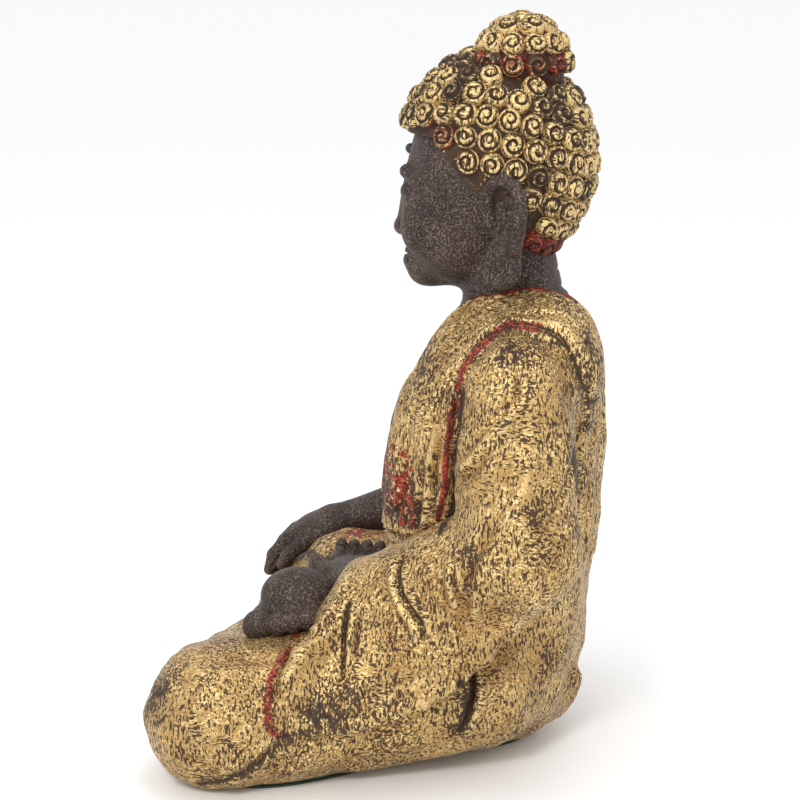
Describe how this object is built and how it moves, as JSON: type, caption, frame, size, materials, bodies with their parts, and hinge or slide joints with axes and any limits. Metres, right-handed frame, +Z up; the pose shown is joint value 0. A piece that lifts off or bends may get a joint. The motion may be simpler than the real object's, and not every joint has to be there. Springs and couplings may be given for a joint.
{
  "type": "buddha statue",
  "caption": "Seated Buddha in the earth-touching pose: hollow castings with a gilded robe over one shoulder, bare dark skin and a cap of snail-shell curls, standing on a felted base.",
  "frame": {"origin": "on the surface the statue stands on, in the felt's underside, midway between the knees and 8 mm in front of the middle of the crossed legs", "axes": "+Z up; the figure faces -Y, so its left side is at +X"},
  "size_m": [0.449, 0.3703, 0.6505],
  "materials": {
    "gilt_robe": "worn gold leaf over red and black ground on cast resin",
    "dark_skin": "dark stone-like paint rubbed with sand colour, on cast resin",
    "gilt_curls": "gold leaf rubbed through at the rims, on cast resin",
    "red_ground": "red and black ground between the curls",
    "black_bead": "polished black",
    "board": "bare plywood",
    "felt": "dark green felt",
    "steel": "plain"
  },
  "bodies": {
    "root": {"leg_casting": "gilt_robe", "torso_core": "dark_skin", "robe_shell": "gilt_robe", "shawl": "gilt_robe", "left_sleeve": "gilt_robe", "right_arm": "dark_skin", "right_hand": "dark_skin", "left_hand": "dark_skin", "right_foot": "dark_skin", "head": "dark_skin", "left_ear": "dark_skin", "right_ear": "dark_skin", "forehead_bead": "black_bead", "hair_cap": "red_ground", "topknot": "red_ground", "upper_curls": "gilt_curls", "lower_curls": "gilt_curls", "topknot_curls": "gilt_curls", "waist_pins": "steel", "topknot_dowel": "steel", "right_wrist_dowel": "steel", "left_wrist_dowel": "steel", "foot_dowel": "steel", "closing_board": "board", "board_screws": "steel", "screw_blocks": "board", "felt_sheet": "felt"}
  },
  "joints": []
}
